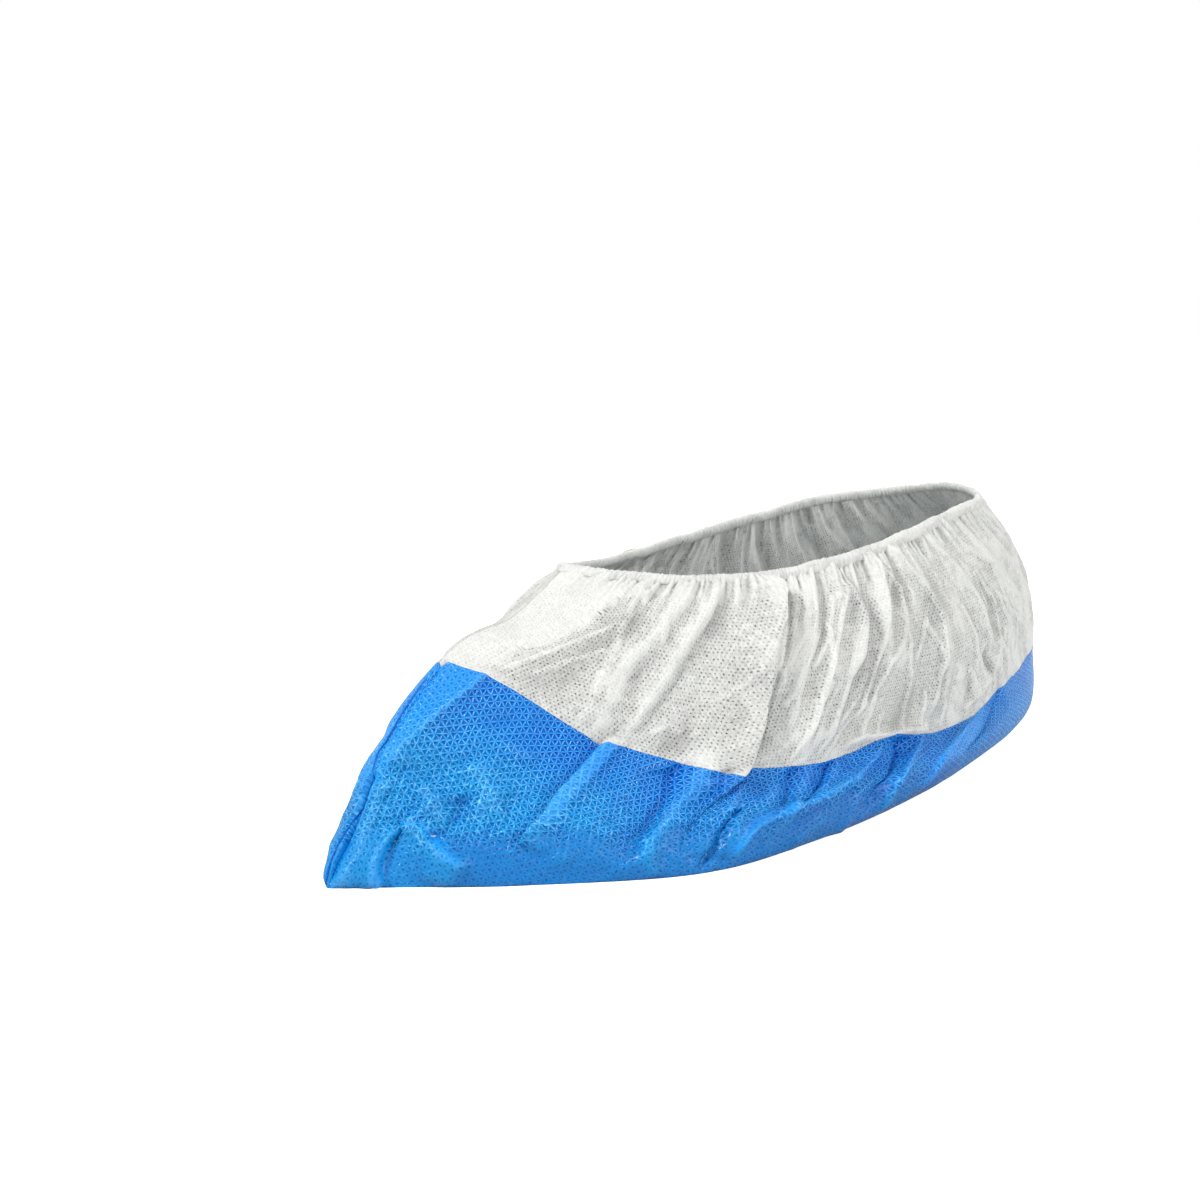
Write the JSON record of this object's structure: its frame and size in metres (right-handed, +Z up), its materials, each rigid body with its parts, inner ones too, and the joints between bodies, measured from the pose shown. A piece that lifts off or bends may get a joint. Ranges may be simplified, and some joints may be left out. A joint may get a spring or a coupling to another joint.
{
  "type": "shoe cover",
  "caption": "Disposable overshoe in its worn form: glossy embossed blue film sole and lower sides, white non-woven cloth above, gathered into an elastic hem.",
  "frame": {"origin": "on the inside of the sole, at mid-length, where the foot stands", "axes": "-Y to the toe, +Y to the heel, +X to the outer side of a left foot, +Z up out of the mouth"},
  "size_m": [0.1323, 0.3412, 0.0979],
  "materials": {
    "blue_film": "thin polyethylene film laminated to the cloth, embossed with a small triangular lattice, semi-gloss",
    "white_nonwoven": "thin spunbond polypropylene, matt and a little see-through, with small bond points",
    "elastic_casing": "the same cloth turned over and gathered on a thin elastic, matt and fuzzy"
  },
  "bodies": {
    "root": {"sole_shell": "blue_film", "side_panel_outer": "white_nonwoven", "side_panel_inner": "white_nonwoven", "elastic_hem": "elastic_casing", "toe_weld_cloth": "white_nonwoven", "toe_weld_film": "blue_film", "heel_weld_cloth": "white_nonwoven", "heel_weld_film": "blue_film"}
  },
  "joints": []
}
